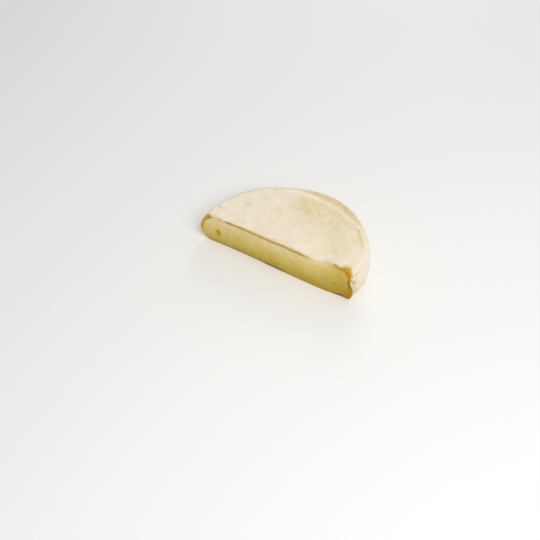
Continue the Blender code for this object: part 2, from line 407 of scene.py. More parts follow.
def grain(points, size, seed):
    """Smooth random unevenness, mostly between -1 and 1: the sum of sine waves in random directions.

    size is the length of a wave in millimetres, one number or one for each axis.
    """
    draw = np.random.default_rng(seed)
    directions = draw.normal(size=(GRAIN_WAVES, 3))
    directions /= np.linalg.norm(directions, axis=1, keepdims=True)
    lengths = draw.uniform(*GRAIN_LENGTHS, (GRAIN_WAVES, 1))
    phases = draw.uniform(0, 1, GRAIN_WAVES)
    turns = (points / size) @ (directions / lengths).T + phases
    return np.sin(turns * 2 * np.pi).sum(axis=-1) * GRAIN_HEIGHT / math.sqrt(GRAIN_WAVES / 2)


def outline_radius(degrees):
    """Radius of the outline: the wheel's radius, times one plus a bell for each swell."""
    swell = sum(amount * hill(degrees, at, width) for at, width, amount in OUTLINE_SWELLS)
    return RADIUS * (1 + swell)


def shoulder_inset(degrees):
    """How far inside the outline the flat top ends, from the right end round to the left."""
    inset = mix(SHOULDER_RIGHT, SHOULDER_SIDES, ramp(degrees, *RIGHT_TO_SIDES))
    inset = mix(inset, SHOULDER_LEFT, ramp(degrees, *SIDES_TO_LEFT))
    return inset + SHOULDER_REAR_EXTRA * hill(degrees, REAR_MIDDLE, REAR_WIDTH)


def wall_surface(degrees, level):
    """The rounded wall: level 0 is the crease at the top, 1 the edge of the base.

    Above and below the widest ring the profile is a quarter of a superellipse, which turns with the
    level, and the angle carries it round the outline.
    """
    degrees, level = np.broadcast_arrays(degrees, level)
    turn = np.abs(1 - 2 * level) * np.pi / 2
    above = level < 0.5
    upper_power = mix(SHOULDER_POWER, SHOULDER_POWER_LEFT, ramp(degrees, *POWER_CHANGE))
    foot_inset = mix(FOOT_RIGHT, FOOT_LEFT, ramp(degrees, *FOOT_CHANGE))
    power = np.where(above, upper_power, FOOT_POWER)
    inset = np.where(above, shoulder_inset(degrees), foot_inset)
    outward = np.clip(np.cos(turn), 0, 1) ** (2 / power)
    upward = np.sin(turn) ** (2 / power)
    radius = outline_radius(degrees) - inset * (1 - outward)
    upper_share = WIDEST_LEVEL + (1 - WIDEST_LEVEL) * upward
    share = np.where(above, upper_share, WIDEST_LEVEL * (1 - upward))
    angle = np.radians(degrees)
    return np.stack((radius * np.cos(angle), radius * np.sin(angle), THICKNESS * share), axis=-1)


def span(bottom, top, left, right, heights):
    """A sheet between four border rows: the two ways to span them are added, less the corners' share."""
    u = np.linspace(0, 1, len(bottom))[None, :, None]
    v = heights[:, None, None]
    across = mix(left[:, None], right[:, None], u)
    upward = mix(bottom[None], top[None], v)
    corners = mix(mix(bottom[0], bottom[-1], u), mix(top[0], top[-1], u), v)
    return across + upward - corners


def top_relief(x, y):
    """Height added to the top: a ridge and trough along the crease, a step, a sag and a slow wave."""
    degrees = np.degrees(np.arctan2(y, x))
    inside = outline_radius(degrees) - shoulder_inset(degrees) - np.hypot(x, y)
    along = band(degrees, RIDGE_STARTS, RIDGE_ENDS)
    rim = RIDGE_HEIGHT * hill(inside, 0, RIDGE_WIDTH)
    rim -= TROUGH_DEPTH * hill(inside, TROUGH_PLACE, TROUGH_WIDTH)
    fade = fall(y, *STEP_FADE)
    step = STEP_HEIGHT * ramp(x, *STEP_PLACE) * fade
    sag = SAG_DEPTH * hill(x, SAG_PLACE, SAG_WIDTH) * fade
    wave = np.sin(x / WAVE_LENGTHS[0] + WAVE_SHIFTS[0]) * np.cos(y / WAVE_LENGTHS[1] + WAVE_SHIFTS[1])
    return along * rim + step - sag + WAVE_HEIGHT * wave


def uneven(plain):
    """Moves the points of the plain half wheel to their places in the uneven one.

    Height leans with X and takes the top's relief by a power of its share. Near the cut the paste
    bulges forward by half a sine of the height. Each dent pushes by a bell of the distance.
    """
    x, y, z = plain.T
    share = z / THICKNESS
    height = z * (1 + LEAN * x / RADIUS) + top_relief(x, y) * share**RELIEF_POWER
    bulge = BULGE * np.exp(-y / BULGE_FADE) * np.sin(np.pi * share) * (1 - (x / RADIUS) ** 2)
    moved = np.stack((x, y - bulge, height), axis=-1)
    for middle, reach, push in DENTS:
        spread = ((plain - middle) / reach) ** 2
        moved += np.array(push) * np.exp(-spread.sum(axis=1))[:, None]
    return moved


def numbered(first, *shape):
    """A grid of fresh point numbers, and the next free one."""
    count = math.prod(shape)
    return np.arange(first, first + count).reshape(shape), first + count


def sheet_numbers(columns, rows, levels):
    """Grids of point numbers of the four sheets, and the number of the base's middle point.

    Sheets that meet share the numbers of the points between them.
    """
    top, free = numbered(0, rows + 1, columns + 1)
    crease = np.concatenate((top[:, -1], top[-1, -2::-1], top[-2::-1, 0]))
    lower_wall, free = numbered(free, levels, crease.size)
    wall = np.vstack((crease, lower_wall))
    inner_cut, free = numbered(free, levels, columns - 1)
    cut = np.vstack((top[0], np.column_stack((lower_wall[:, -1], inner_cut, lower_wall[:, 0]))))
    rim = np.concatenate((wall[-1], cut[-1, 1:-1]))
    inner_rings, middle = numbered(free, len(BASE_RINGS), rim.size)
    base = np.vstack((rim, inner_rings))
    base = np.column_stack((base, base[:, 0]))
    return {"top": top, "wall": wall, "cut": cut, "base": base}, middle


def half_wheel(columns, rows, levels):
    """The plain half wheel: its points, and the grids of point numbers of its sheets.

    The wall follows wall_surface. The top spans the cut's edge and the crease, and the cut spans the
    two ends of the wall. The base is rings that shrink from its edge towards its middle point, which
    comes last. The levels lie halfway between even turns and even heights, so that the squares are
    even on the shoulder and on the cut.
    """
    right_arc = np.linspace(0, SIDE_ARC, rows + 1)
    rear_arc = np.linspace(SIDE_ARC, 180 - SIDE_ARC, columns + 1)
    degrees = np.concatenate((right_arc, rear_arc[1:], 180 - right_arc[-2::-1]))
    even = np.linspace(1, -1, levels + 1)
    by_height = np.sign(even) * np.arcsin(np.abs(even) ** (SHOULDER_POWER / 2)) / (np.pi / 2)
    level = (1 - mix(even, by_height, 0.5)) / 2

    sheets, middle = sheet_numbers(columns, rows, levels)
    top, wall, cut, base = sheets.values()
    points = np.zeros((middle + 1, 3))
    points[middle] = BASE_MIDDLE
    points[wall] = wall_surface(degrees[None], level[:, None])
    steps = np.linspace(0, 1, columns + 1)[:, None]
    cut_edge = mix(points[top[0, 0]], points[top[0, -1]], steps)
    base_edge = mix(points[cut[-1, 0]], points[cut[-1, -1]], steps)
    back = np.linspace(0, 1, rows + 1)
    points[top] = span(cut_edge, points[top[-1]], points[top[:, 0]], points[top[:, -1]], back)
    down = 1 - points[wall[:, 0], 2] / THICKNESS
    points[cut] = span(cut_edge, base_edge, points[cut[:, 0]], points[cut[:, -1]], down)
    inwards = np.array(BASE_RINGS)[:, None, None]
    points[base[1:]] = mix(points[base[0]], points[middle], inwards)
    return points, sheets


def squares(numbers, flipped):
    """Corners of the squares of a grid of point numbers, anticlockwise seen from outside."""
    corners = (numbers[:-1, :-1], numbers[:-1, 1:], numbers[1:, 1:], numbers[1:, :-1])
    rows = np.stack(corners, axis=-1).reshape(-1, 4)
    return rows[:, ::-1] if flipped else rows


def outward(points, faces):
    """Direction out of the surface at each point: the mean of the directions of its squares."""
    first, second, third, fourth = (points[faces[:, corner]] for corner in range(4))
    facing = np.cross(third - first, fourth - second)
    total = np.zeros_like(points)
    for corner in range(4):
        np.add.at(total, faces[:, corner], facing)
    return total / np.maximum(np.linalg.norm(total, axis=1, keepdims=True), 1e-9)


def near_line(points, path, width):
    """A bell of the distance to a line of straight pieces."""
    path = np.array(path)
    nearest = np.full(len(points), np.inf)
    for start, end in zip(path[:-1], path[1:]):
        along = end - start
        share = np.clip((points - start) @ along / (along @ along), 0, 1)
        gap = points - start - share[:, None] * along
        nearest = np.minimum(nearest, np.linalg.norm(gap, axis=1))
    return hill(nearest, 0, width)


class Skin:
    """Depths and finishes of every point of the half wheel, worked out from its plain place."""

    def __init__(self, plain, sheets, normals):
        self.plain, self.sheets, self.normals = plain, sheets, normals
        self.x, self.y, self.z = plain.T
        self.plan = plain[:, :2]
        self.below = THICKNESS - self.z
        self.degrees = np.degrees(np.arctan2(self.y, self.x))
        crease = outline_radius(self.degrees) - shoulder_inset(self.degrees)
        self.outside = np.hypot(self.x, self.y) - crease
        self.on_top = fall(self.below, *TOP_EDGE)
        self.on_cut = np.zeros(len(plain))
        self.on_cut[sheets["cut"]] = 1
        self.on_rind = 1 - self.on_cut
        self.depth = np.zeros(len(plain))
        self.marks = {name: np.zeros(len(plain)) for name in MARKS}

    def add(self, **amounts):
        """Adds to the named finishes, each up to 1."""
        for name, amount in amounts.items():
            self.marks[name] = np.clip(self.marks[name] + amount, 0, 1)

    def cloth(self, form):
        """Ribs and stitches of the cheese cloth.

        Ribs are counted across the print and stitches along it, both a little adrift by a slow grain,
        and the ribs fan out to the rear. The print fades on the wall, at the ends and in patches. A
        rib's groove is a raised cosine.
        """
        x, y = self.x, self.y
        lean = form.rib_lean
        drift = RIB_DRIFT * grain(self.plain, size=36, seed=3)
        fanned = x * math.cos(lean) - y * math.sin(lean) - RIB_FAN * y * y / 2
        across = fanned / (form.rib_spacing / MM) + drift
        along = (x * math.sin(lean) + y * math.cos(lean)) / (form.stitch_spacing / MM)
        along += STITCH_DRIFT * grain(self.plain, size=22, seed=4)

        facing_side, _, facing_up = self.normals.T
        patches = PRINT_LEVEL + PRINT_PATCHES * grain(self.plain, size=17, seed=5)
        strength = ramp(facing_up, *PRINT_FACING_UP) * patches
        pressed = ramp(self.outside, *PRINT_SHOULDER) * ramp(self.degrees, *PRINT_SHOULDER_STARTS)
        strength *= 1 + PRINT_SHOULDER_EXTRA * pressed
        strength *= ramp(x, *PRINT_RIGHT) * ramp(x, *PRINT_LEFT)
        strength *= ramp(np.abs(facing_side), *PRINT_FACING_SIDE)
        strength *= ramp(y, *PRINT_BY_CUT) * self.on_rind
        strength = np.clip(strength, 0, PRINT_MOST)
        groove = (0.5 + 0.5 * np.cos(2 * np.pi * across)) ** GROOVE_POWER
        self.depth += form.rib_depth / MM * strength * groove
        self.print = np.stack((across, along, strength), axis=-1)

    def rind_lines(self):
        """Folds, scratches, the pale bead along the crease and cracks, each a bell across its line. The
        bead's paleness is a painted highlight on its ridge.
        """
        for path, width, depth, tan, brown in RIND_LINES:
            line = near_line(self.plan, path, width) * self.on_top
            self.depth += depth * line
            self.add(tan=tan * line, brown=brown * line)
        bead = near_line(self.plan, CREASE_PATH, CREASE_WIDTH) * fall(self.below, *CREASE_FADE)
        self.depth -= CREASE_HEIGHT * bead
        # Painted highlight along the bead's ridge
        self.add(pale=0.5 * bead)
        broken = ramp(grain(self.plain, size=2.2, seed=19), -0.5, 0.5)
        for path in CRACKS:
            crack = near_line(self.plain, wall_surface(*np.array(path).T), CRACK_WIDTH) * broken
            self.depth += CRACK_DEPTH * crack
            self.add(tan=0.8 * crack, brown=0.1 * crack)

    def rind_tints(self):
        """Warm zones, the dark shoulder behind the crease, the pale rim at the right, which is painted
        light, painted shade in the trough inside the crease, and brown spots.

        A zone is a bell along each axis, a spot is a bell of the distance, and the rest are stretches
        round the outline with soft ends. The wall is tan low down and beside the cut, partly its own tan
        and partly painted shade, and browner beside the cut at the right end as painted shade.
        """
        zones = sum(
            amount * hill(self.x, x, wide) * hill(self.y, y, deep)
            for x, y, wide, deep, amount in TAN_ZONES
        )
        patchy = 0.9 + 0.25 * grain(self.plain, size=9, seed=6)
        shoulder = band(self.degrees, *TAN_SHOULDER)
        shoulder *= ramp(self.outside, *TAN_SHOULDER_EDGE) * ramp(self.z, *TAN_SHOULDER_LEVELS)
        bloom = 0.8 + 0.25 * grain(self.plain, size=7, seed=20)
        # Painted shade low on the wall, over its own tan
        low_wall_tan_and_shade = fall(self.z, *WALL_TAN_AND_SHADE_LEVELS) * self.on_rind
        low_wall_tan_and_shade *= 1 - 0.7 * hill(self.degrees, *PALER_WALL)
        tan_and_shade_by_cut = fall(self.y, *TAN_AND_SHADE_BY_CUT) * fall(self.z, *TAN_AND_SHADE_BY_CUT_LEVELS) * self.on_rind
        self.add(tan=np.clip(zones * patchy, 0, 1) + 0.78 * shoulder * bloom)
        self.add(tan=0.35 * low_wall_tan_and_shade + 0.45 * tan_and_shade_by_cut)
        # Painted shade: browner beside the cut at the right end
        self.add(brown=0.22 * tan_and_shade_by_cut * (self.x > 0))
        # Painted light on the upper wall at the right
        rim = band(self.degrees, *LIT_RIM) * ramp(self.outside, *LIT_RIM_EDGE)
        self.add(pale=0.5 * rim * ramp(self.z, *LIT_RIM_LEVELS))
        # Painted shade in the trough inside the crease
        trough = band(self.degrees, *TROUGH_SHADE) * hill(self.outside, *TROUGH_SHADE_PLACE)
        self.add(tan=0.22 * trough * self.on_top)
        for x, y, size, amount in SPOTS:
            spot = hill(np.hypot(self.x - x, self.y - y), 0, size) * self.on_top
            self.add(tan=1.7 * amount * spot, brown=0.3 * amount * spot)
            self.depth += SPOT_DEPTH * amount * spot
        for place, size, amount in WALL_MARKS:
            mark = hill(np.linalg.norm(self.plain - place, axis=1), 0, size) * self.on_rind
            self.add(tan=1.6 * amount * mark, brown=0.5 * amount * mark)

    def unevenness(self):
        """Lumps and fine grain of the rind, and long upright wrinkles on the wall."""
        lumps = LUMP_HEIGHT * grain(self.plain, size=11, seed=7)
        lumps += FINE_LUMP_HEIGHT * grain(self.plain, size=3, seed=8)
        steep = fall(np.abs(self.normals[:, 2]), *WRINKLE_FACING)
        wrinkles = WRINKLE_HEIGHT * steep * grain(self.plain, size=WRINKLE_SIZE, seed=9)
        self.depth += self.on_rind * (lumps + wrinkles + RIND_LEVEL)

    def paste_face(self):
        """The cut face: slow knife marks, small pits, round holes and pores.

        A hole is a dimple: its depth is the root of one less the square of the stretched distance. Holes
        are deeper yellow, with painted shade: browner on their upper left and where they are large.
        """
        cut = self.on_cut
        drag = KNIFE_MARK_DEPTH * grain(self.plain, size=KNIFE_MARK_SIZE, seed=10)
        pits = PIT_DEPTH * np.clip(grain(self.plain, size=1.6, seed=11) - 0.3, 0, None)
        self.depth += cut * (drag + pits + PASTE_LEVEL)
        draw = np.random.default_rng(12)
        dots = draw.uniform(DOTS_LEAST, DOTS_MOST, (DOT_COUNT, 3))
        small = [(x, z, size, size, PORE_DEPTH * size) for x, z, size in (*PORES, *dots)]
        for x, z, wide, high, deep in (*EYES, *small):
            reach = np.hypot((self.x - x) / wide, (self.z - z) / high)
            self.depth += cut * deep * np.sqrt(np.clip(1 - reach**2, 0, 1))
            self.add(deep=cut * np.clip(1.1 * deep, 0.25, 1) * fall(reach, *HOLE_YELLOW))
            # Painted shade on the upper left of each hole
            shaded = ramp((self.z - z) / high - (self.x - x) / wide, -0.2, 1.4)
            self.add(brown=min(0.5 * deep, 0.26) * cut * shaded * fall(reach, *HOLE_SHADE))
            # More painted shade in large holes
            self.add(brown=0.12 * cut * (deep > LARGE_HOLE) * fall(reach, *LARGE_HOLE_SHADE))

    def seam(self):
        """The ochre line along the edge of the rind, with a groove and a darker core on the cut face.

        It is a bell of the distance from the edge, down the cut or back over the rind. It sways and
        swells slowly, and its strength is a sum of smooth steps along the cut: faint near the left
        end and missing where paste is smeared. Behind it the rind has a tan rim.
        """
        x, below = self.x, self.below
        along_cut = self.plain * (1, 0, 0)
        sway = grain(along_cut, size=9, seed=13)
        reach = sum(rise * ramp(x, start, end) for start, end, rise in SEAM_STEPS)
        place = np.interp(x, *SEAM_PLACE) + SEAM_SWAY * sway
        width = SEAM_WIDTH + SEAM_SWELL * grain(along_cut, size=4, seed=14)
        gap = np.where(self.on_cut > 0, below, -self.y)
        width *= np.where(gap < place, 1, SEAM_LOWER_SIDE)
        line = reach * hill(gap, place, width) * np.maximum(self.on_cut, self.on_top)
        self.add(ochre=0.95 * line, brown=0.14 * line * hill(gap, place, SEAM_CORE))
        self.depth += SEAM_DEPTH * line * self.on_cut * ramp(below, *SEAM_GROOVE_STARTS)

        behind = self.y + np.minimum(place, 0)
        rim_starts, rim_ends = SEAM_RIM
        self.add(tan=reach * fall(behind, rim_starts, rim_ends + 0.7 * sway) * self.on_top * self.on_rind)
        rubbed = ramp(x, *RUBBED_FROM) * fall(self.y, -place - 0.3, -place + 0.5) * self.on_rind
        self.add(smear=rubbed * self.on_top)
        for place_x, place_below, size, amount in SEAM_NOTCHES:
            notch = self.on_cut * hill(x, place_x, size) * hill(below, place_below, 0.7 * size)
            self.add(brown=amount * notch)

    def ends(self):
        """Ochre and pale skin at both ends of the cut, measured from the ends inwards.

        At the left it is a strip, and a corner above a slanting line. At the right it starts at an
        edge that leans with the height, half soft and half crisp, with a dark sunk patch above it.
        """
        cut = self.sheets["cut"]
        x, z = self.x[cut], self.z[cut]
        wave = grain(self.plain[cut], size=5, seed=15)
        from_left = x - x[:, :1]
        from_right = x[:, -1:] - x

        strip_starts, (strip_fades, strip_ends) = LEFT_STRIP
        strip = ramp(from_left, *strip_starts) * fall(from_left, strip_fades, strip_ends + 0.5 * wave)
        strip *= ramp(z, *LEFT_STRIP_LEVELS)
        above_line = z - LEFT_LINE_SLOPE * x - LEFT_LINE_HEIGHT - 0.4 * wave
        corner = ramp(above_line, *LEFT_LINE_EDGE) * ramp(from_left, *SKIN_TO_OCHRE)
        left_gold = np.maximum(0.85 * strip, corner)
        left_skin = fall(from_left, *LEFT_SKIN)

        edge = np.interp(z, *RIGHT_GOLD_EDGE)
        soft = ramp(x, edge - RIGHT_GOLD_SOFTNESS, edge)
        crisp = ramp(x, edge - 0.3 + 0.3 * wave, edge + 1)
        gold = (0.55 * soft + 0.45 * crisp) * fall(z, *RIGHT_GOLD_TOP)
        dark = ramp(x, *DARK_FROM) * band(z, *DARK_LEVELS) * ramp(from_right, *SKIN_TO_OCHRE)
        right_skin = fall(from_right, *RIGHT_SKIN) * ramp(z, *RIGHT_SKIN_LEVELS)
        self.add(
            ochre=self.from_cut(np.maximum(left_gold, np.maximum(gold, dark))),
            amber=self.from_cut(left_gold * (0.7 + 0.25 * wave)),
            brown=self.from_cut(0.45 * dark + 0.25 * gold * fall(z, *RIGHT_GOLD_FOOT)),
            skin=self.from_cut(np.maximum(left_skin, right_skin)),
        )
        self.depth += self.from_cut(DARK_DEPTH * dark)

        tip_x, tip_y, tip_z = LEFT_TIP
        tip = fall(self.x, *tip_x) * fall(self.y, *tip_y) * ramp(self.z, *tip_z) * self.on_rind
        self.add(ochre=0.9 * tip, amber=0.5 * tip)

    def from_cut(self, amount):
        """One value for every point, from values on the cut's grid: 0 elsewhere."""
        whole = np.zeros(len(self.plain))
        whole[self.sheets["cut"]] = amount
        return whole

    def torn_corner(self):
        """Rind torn off the right top corner: bright and even on the cut, speckled on the rind.

        Its border is where a signed distance is 0, made rough by a grain. Inside the patch all of
        its borders are passed: on the cut a leaning edge and a lowest level, on the top an oval, and
        on the wall a strip that widens upwards.
        """
        x, y, z = self.x, self.y, self.z
        rough = 0.08 * grain(self.plain, size=3.2, seed=16)
        high_enough = past(z, *TORN_LOWEST)
        on_face = np.minimum(past(x, np.interp(z, *TORN_EDGE), TORN_EDGE_REACH), high_enough)
        to_left, to_right, to_rear = TORN_OVAL
        to_side = np.where(x < TORN_MIDDLE, to_left, to_right)
        on_oval = 1 - np.hypot((x - TORN_MIDDLE) / to_side, y / to_rear)
        on_oval = np.minimum(on_oval, np.maximum(past(z, *TORN_OVAL_LOWEST), self.on_top))
        width = TORN_STRIP_WIDTH + TORN_STRIP_LEAN * (z - TORN_STRIP_LEVEL)
        on_strip = np.minimum(past(width, y, TORN_STRIP_REACH), past(x, *TORN_STRIP_FROM))
        on_strip = np.minimum(on_strip, high_enough)
        signed = np.where(self.on_cut > 0, on_face, np.maximum(on_oval, on_strip)) + rough

        face = ramp(signed, 0.0, 0.2) * self.on_cut
        speckle = 0.95 + 0.2 * grain(self.plain, size=1.7, seed=21)
        rind = ramp(signed, -0.05, 0.4) * self.on_rind * np.clip(speckle, 0.2, 1)
        near_face = fall(y, *TORN_EVEN)
        patch = np.maximum(face, np.maximum(rind, ramp(signed, 0.0, 0.2) * near_face))
        bright = 0.5 + 0.25 * grain(self.plain, size=3, seed=22) + 0.4 * rind
        self.add(ochre=patch, amber=patch * bright * ramp(x, *TORN_BRIGHTER))
        self.marks["skin"] *= 1 - patch
        self.marks["brown"] *= 1 - face
        self.depth += TORN_DEPTH * patch + 0.06 * patch * grain(self.plain, size=2.4, seed=17)
        self.depth -= TORN_LIP * hill(signed, -0.06, 0.07) * self.on_rind
        self.add(tan=0.6 * ramp(signed, -0.35, 0.0) * ramp(z, *TORN_RIM_LEVELS) * self.on_rind)

    def smear(self):
        """Paste rubbed over the edge, where the rind ends farther back and the line is missing.

        Each patch is a bell along the cut, fading over the rind or down the cut. The pale patch lower
        down the cut is partly smeared paste and partly a painted highlight.
        """
        reach = hill(self.x, *SMEAR)
        back = SMEAR_BACK * reach + 0.5 * grain(self.plain, size=4, seed=18)
        soft = reach * fall(self.y, back - 4, back + 1) * self.on_rind
        self.add(smear=soft * fall(self.below, *SMEAR_DOWN))
        from_edge = np.hypot(self.y, self.below)
        self.depth += ROUNDED_DEPTH * hill(self.x, *ROUNDED_EDGE) * hill(from_edge, 0, ROUNDED_REACH)
        lower = hill(self.x, *PALE_EDGE) * fall(self.below, *PALE_EDGE_DOWN) * self.on_cut
        thick_skin = hill(self.x, *THICK_SKIN) * fall(self.below, *THICK_SKIN_DOWN) * self.on_cut
        # Partly smeared paste and partly a painted highlight on the cut
        smear_and_highlight = hill(self.x, *SMEAR_AND_HIGHLIGHT) * hill(self.below, *SMEAR_AND_HIGHLIGHT_DOWN) * self.on_cut
        self.add(smear=0.3 * lower, skin=0.7 * thick_skin)
        self.add(smear=0.4 * smear_and_highlight)

    def foot(self):
        """The thin ochre edge at the foot of the cut, with a brown stretch, a brown spot and a band of
        painted shade above the base.
        """
        low = self.on_cut * fall(self.z, *FOOT_LINE)
        stretch = band(self.x, *FOOT_STRETCH)
        dark = stretch * fall(self.z, *FOOT_STRETCH_HEIGHT) * self.on_cut
        spot = hill(self.x, *FOOT_SPOT) * fall(self.z, *FOOT_SPOT_HEIGHT) * self.on_cut
        self.add(ochre=0.6 * low + 0.7 * dark)
        # Painted shade along the foot of the cut
        self.add(brown=0.12 * self.on_cut * fall(self.z, *FOOT_PAINTED_SHADE) + 0.3 * dark)
        self.add(brown=np.maximum(0.7 * stretch * low, 0.9 * spot))


def fit_to_box(points, low, high):
    """Moves and stretches the points by a hair, so that their box is the node's, now in metres."""
    low, high = np.array(low), np.array(high)
    own_low, own_high = points.min(axis=0), points.max(axis=0)
    return low + (points - own_low) * (high - low) / (own_high - own_low)


def closed_mesh(points, sheet_squares, fan):
    """Puts the squares of each sheet and the triangles in the middle of the base into a mesh."""
    faces = np.vstack(list(sheet_squares.values()))
    slots = [np.full(len(rows), SHEET_SLOTS[name]) for name, rows in sheet_squares.items()]
    slots.append(np.full(len(fan), SHEET_SLOTS["base"]))
    mesh = bpy.data.meshes.new(PIECE)
    mesh.vertices.add(len(points))
    mesh.vertices.foreach_set("co", points.astype(np.float32).ravel())
    mesh.loops.add(faces.size + fan.size)
    mesh.loops.foreach_set("vertex_index", np.concatenate((faces.ravel(), fan.ravel())))
    starts = np.concatenate((np.arange(len(faces)) * 4, faces.size + np.arange(len(fan)) * 3))
    mesh.polygons.add(len(starts))
    mesh.polygons.foreach_set("loop_start", starts)
    mesh.polygons.foreach_set("material_index", np.concatenate(slots).astype(np.int32))
    mesh.polygons.foreach_set("use_smooth", np.ones(len(starts), bool))
    mesh.update(calc_edges=True)
    if mesh.validate():
        raise RuntimeError("the half cheese's mesh had faults")
    return mesh


def cheese_mesh(form):
    """The closed half cheese as a mesh, with its finishes as attributes."""
    plain, sheets = half_wheel(form.columns, form.rows, form.levels)
    sheet_squares = {name: squares(sheets[name], name != "top") for name in SHEET_SLOTS}
    last_ring, middle = sheets["base"][-1], len(plain) - 1
    fan = np.column_stack((last_ring[1:], last_ring[:-1], np.full(last_ring.size - 1, middle)))
    uneven_points = uneven(plain)
    normals = outward(uneven_points, np.vstack(list(sheet_squares.values())))

    skin = Skin(plain, sheets, normals)
    skin.cloth(form)
    skin.rind_lines()
    skin.rind_tints()
    skin.unevenness()
    skin.paste_face()
    skin.seam()
    skin.ends()
    skin.smear()
    skin.torn_corner()
    skin.foot()
    depth = skin.depth * ramp(skin.z, *BASE_FADE)
    points = fit_to_box(uneven_points - normals * depth[:, None], *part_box(NODE))

    mesh = closed_mesh(points, sheet_squares, fan)
    mesh.set_sharp_from_angle(angle=form.sharp_angle)
    for name, values in skin.marks.items():
        mesh.attributes.new(name, "FLOAT", "POINT").data.foreach_set("value", values.astype(np.float32))
    cloth = mesh.attributes.new("cloth", "FLOAT_VECTOR", "POINT")
    cloth.data.foreach_set("vector", skin.print.astype(np.float32).ravel())
    return mesh


def shade(red, green, blue):
    """A colour given as it shows on a screen, 0 to 255, in linear light: the screen's curve undone."""
    shares = np.array((red, green, blue)) / 255
    linear = np.where(shares <= 0.04045, shares / 12.92, ((shares + 0.055) / 1.055) ** 2.4)
    return tuple(float(share) for share in linear)


# The Mix node's sockets for colours, which share their names with those for other kinds
MIX_FIRST, MIX_SECOND, MIX_RESULT = 6, 7, 2


class Finish:
    """Short ways to add and join the nodes of one material."""

    def __init__(self, name):
        self.material = bpy.data.materials.new(name)
        self.material.use_nodes = True
        self.tree = self.material.node_tree
        self.shader = self.tree.nodes["Principled BSDF"]

    def join(self, socket, value):
        """Links a socket to another node's output, or sets it to a number or colour."""
        if isinstance(value, bpy.types.NodeSocket):
            self.tree.links.new(value, socket)
        elif socket.type == "RGBA":
            socket.default_value = (*value, 1)
        else:
            socket.default_value = value

    def feed(self, name, value):
        """Links or sets a socket of the shader."""
        self.join(self.shader.inputs[name], value)

    def place(self):
        """Object coordinates."""
        return self.tree.nodes.new("ShaderNodeTexCoord").outputs["Object"]

    def mark(self, name, output="Fac"):
        """One of the mesh's own finishes."""
        node = self.tree.nodes.new("ShaderNodeAttribute")
        node.attribute_name = name
        return node.outputs[output]

    def split(self, vector):
        """The three parts of a vector."""
        node = self.tree.nodes.new("ShaderNodeSeparateXYZ")
        self.join(node.inputs[0], vector)
        return node.outputs

    def math(self, operation, first, second=0.0):
        """One step of arithmetic."""
        node = self.tree.nodes.new("ShaderNodeMath")
        node.operation = operation
        self.join(node.inputs[0], first)
        self.join(node.inputs[1], second)
        return node.outputs[0]

    def plus(self, first, second):
        """The sum of two values."""
        return self.math("ADD", first, second)

    def times(self, first, second):
        """The product of two values."""
        return self.math("MULTIPLY", first, second)

    def ramp(self, value, start, end, before=0.0, after=1.0):
        """One level before start, another after end, and a smooth step between."""
        node = self.tree.nodes.new("ShaderNodeMapRange")
        node.interpolation_type = "SMOOTHSTEP"
        for socket, number in zip(node.inputs, (value, start, end, before, after)):
            self.join(socket, number)
        return node.outputs[0]

    def noise(self, size, detail=2.0, roughness=0.5, stretch=(1, 1, 1)):
        """Soft random grain of a size in millimetres, 0 to 1, stretched along the axes."""
        mapping = self.tree.nodes.new("ShaderNodeMapping")
        self.join(mapping.inputs["Vector"], self.place())
        mapping.inputs["Scale"].default_value = [1 / share for share in stretch]
        node = self.tree.nodes.new("ShaderNodeTexNoise")
        self.join(node.inputs["Vector"], mapping.outputs[0])
        node.inputs["Scale"].default_value = 1 / (size * MM)
        node.inputs["Detail"].default_value = detail
        node.inputs["Roughness"].default_value = roughness
        return node.outputs["Fac"]

    def blend(self, share, first, second):
        """From the first colour to the second."""
        node = self.tree.nodes.new("ShaderNodeMix")
        node.data_type = "RGBA"
        self.join(node.inputs["Factor"], share)
        self.join(node.inputs[MIX_FIRST], first)
        self.join(node.inputs[MIX_SECOND], second)
        return node.outputs[MIX_RESULT]

    def bump(self, height, strength=1.0):
        """Fine relief from a height in millimetres."""
        node = self.tree.nodes.new("ShaderNodeBump")
        node.inputs["Strength"].default_value = strength
        node.inputs["Distance"].default_value = MM
        self.join(node.inputs["Height"], height)
        self.feed("Normal", node.outputs[0])


def ochre_and_brown(finish, look, colour):
    """Lays the ochre layer and then the brown over a colour, where their marks say: dried brown, and
    painted shade in holes, along the foot of the cut and beside the cut.
    """
    ochre = finish.blend(finish.mark("amber"), look.ochre, look.amber)
    colour = finish.blend(finish.mark("ochre"), colour, ochre)
    return finish.blend(finish.mark("brown"), colour, look.brown)


